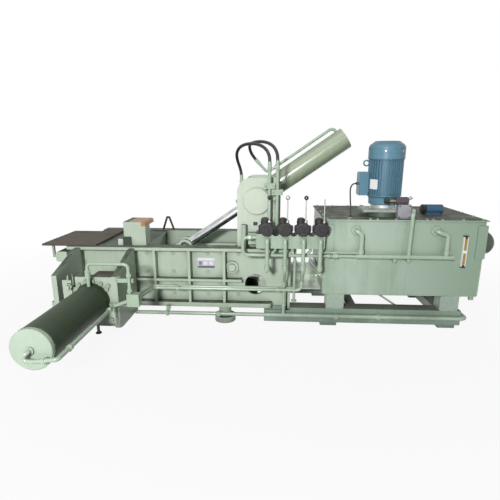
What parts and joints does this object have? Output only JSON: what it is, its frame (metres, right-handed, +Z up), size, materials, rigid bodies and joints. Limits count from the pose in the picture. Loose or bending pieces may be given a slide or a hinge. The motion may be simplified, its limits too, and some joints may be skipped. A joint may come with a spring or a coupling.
{
  "type": "recycling baler",
  "caption": "Scrap metal baler: a long steel press box with a hinged lid, side and main hydraulic rams, a discharge gate, valve levers and an oil tank with a standing motor.",
  "frame": {"origin": "on the floor, under the middle of the round foot that stands where the press channel's mid-plane crosses the side ram's axis", "axes": "+X along the press towards the oil tank, +Y across the press away from the side cylinder, +Z up"},
  "size_m": [4.537, 3.464, 1.9661],
  "materials": {
    "press_paint": "worn sage green paint",
    "lid_paint": "worn sage green paint, rubbed on the plate",
    "worn_plate": "bare rubbed steel, dull",
    "barrel_paint": "glossy olive green paint",
    "chrome_rod": "hard chrome, polished",
    "bright_steel": "turned steel",
    "bolt_steel": "overpainted fasteners",
    "pipe_paint": "satin green pipe paint",
    "tank_paint": "satin sage green paint",
    "motor_blue": "satin blue paint",
    "bell_paint": "painted casting",
    "valve_iron": "dark satin",
    "orange_paint": "worn orange paint",
    "breather_blue": "satin blue paint",
    "gauge_white": "white frame with amber windows",
    "filter_paint": "pale satin paint",
    "hose_rubber": "black rubber"
  },
  "bodies": {
    "press": {"front_wall": "press_paint", "rear_wall": "press_paint", "thrust_plate_left": "press_paint", "thrust_plate_right": "press_paint", "side_flange_plate": "press_paint", "discharge_frame": "press_paint", "crosshead": "press_paint", "top_post": "press_paint", "lid_bracket_front": "press_paint", "lid_bracket_rear": "press_paint", "side_cylinder_cap": "press_paint", "feet": "press_paint", "floor_plate": "press_paint", "channel_roof": "lid_paint", "channel_liners": "worn_plate", "cover_plate": "worn_plate", "side_cylinder_tube": "barrel_paint", "main_cylinder": "barrel_paint", "gate_cylinder": "barrel_paint", "lid_hinge_pin": "bright_steel", "pump": "bright_steel", "bolt_heads": "bolt_steel", "lifting_loop": "bolt_steel", "valve_pipes": "pipe_paint", "side_pipes": "pipe_paint", "tank_pipes": "pipe_paint", "tank_shell": "tank_paint", "tank_top": "tank_paint", "base_frame": "tank_paint", "manifold": "tank_paint", "motor_frame": "motor_blue", "terminal_box": "motor_blue", "motor_cowl": "motor_blue", "bell_housing": "bell_paint", "valve_bodies": "valve_iron", "relief_valve": "valve_iron", "post_slab": "orange_paint", "breather_cover": "breather_blue", "level_gauge": "gauge_white", "side_filter": "filter_paint", "head_hose": "hose_rubber", "cap_hose": "hose_rubber", "motor_cable": "hose_rubber"},
    "lid": {"lid": "lid_paint"},
    "lid_cylinder": {"lid_cylinder_tube": "barrel_paint", "lid_cylinder_gland": "barrel_paint", "lid_cylinder_pipes": "pipe_paint"},
    "lid_ram": {"lid_rod": "chrome_rod", "lid_lug_pin": "bright_steel"},
    "main_ram": {"main_pusher": "worn_plate", "main_rod": "chrome_rod"},
    "side_ram": {"side_pusher": "worn_plate", "side_rod": "chrome_rod"},
    "gate": {"discharge_gate": "worn_plate", "gate_rod": "chrome_rod"},
    "motor_rotor": {"motor_shaft": "bright_steel"},
    "lever_1": {"valve_lever_1": "bright_steel"},
    "lever_2": {"valve_lever_2": "bright_steel"},
    "lever_3": {"valve_lever_3": "bright_steel"},
    "lever_4": {"valve_lever_4": "bright_steel"}
  },
  "joints": [
    {"name": "lid_hinge", "type": "hinge", "parent": "press", "child": "lid", "pos_m": [1.229, 0, 0.568], "axis": [0, 1, 0], "range_deg": [0, 60]},
    {"name": "lid_cylinder_swing", "type": "hinge", "parent": "press", "child": "lid_cylinder", "pos_m": [1.478, 0, 1.245], "axis": [0, 1, 0], "range_deg": [0, 20.5], "deforming": ["head_hose", "cap_hose"]},
    {"name": "lid_ram_slide", "type": "slide", "parent": "lid_cylinder", "child": "lid_ram", "axis": [0.8269, 0, 0.5624], "range_m": [0, 0.53]},
    {"name": "main_ram_slide", "type": "slide", "parent": "press", "child": "main_ram", "axis": [1, 0, 0], "range_m": [-1.55, 0]},
    {"name": "side_ram_slide", "type": "slide", "parent": "press", "child": "side_ram", "axis": [0, 1, 0], "range_m": [0, 0.39]},
    {"name": "gate_slide", "type": "slide", "parent": "press", "child": "gate", "axis": [0, 1, 0], "range_m": [0, 0.4]},
    {"name": "motor_spin", "type": "hinge", "parent": "press", "child": "motor_rotor", "pos_m": [2.748, -0.29, 1.2], "axis": [0, 0, 1], "continuous": true},
    {"name": "lever_1_tilt", "type": "hinge", "parent": "press", "child": "lever_1", "pos_m": [1.606, -0.706, 1.086], "axis": [1, 0, 0], "range_deg": [-15, 15], "stiffness_Nm_per_rad": 8},
    {"name": "lever_2_tilt", "type": "hinge", "parent": "press", "child": "lever_2", "pos_m": [1.775, -0.706, 1.086], "axis": [1, 0, 0], "range_deg": [-15, 15], "stiffness_Nm_per_rad": 8},
    {"name": "lever_3_tilt", "type": "hinge", "parent": "press", "child": "lever_3", "pos_m": [1.944, -0.706, 1.086], "axis": [1, 0, 0], "range_deg": [-15, 15], "stiffness_Nm_per_rad": 8},
    {"name": "lever_4_tilt", "type": "hinge", "parent": "press", "child": "lever_4", "pos_m": [2.113, -0.706, 1.086], "axis": [1, 0, 0], "range_deg": [-15, 15], "stiffness_Nm_per_rad": 8}
  ],
  "couplings": [
    {"joint": "lid_cylinder_swing", "follows": "lid_hinge", "ratio": 0.34},
    {"joint": "lid_ram_slide", "follows": "lid_hinge", "m_per_rad": 0.505}
  ]
}
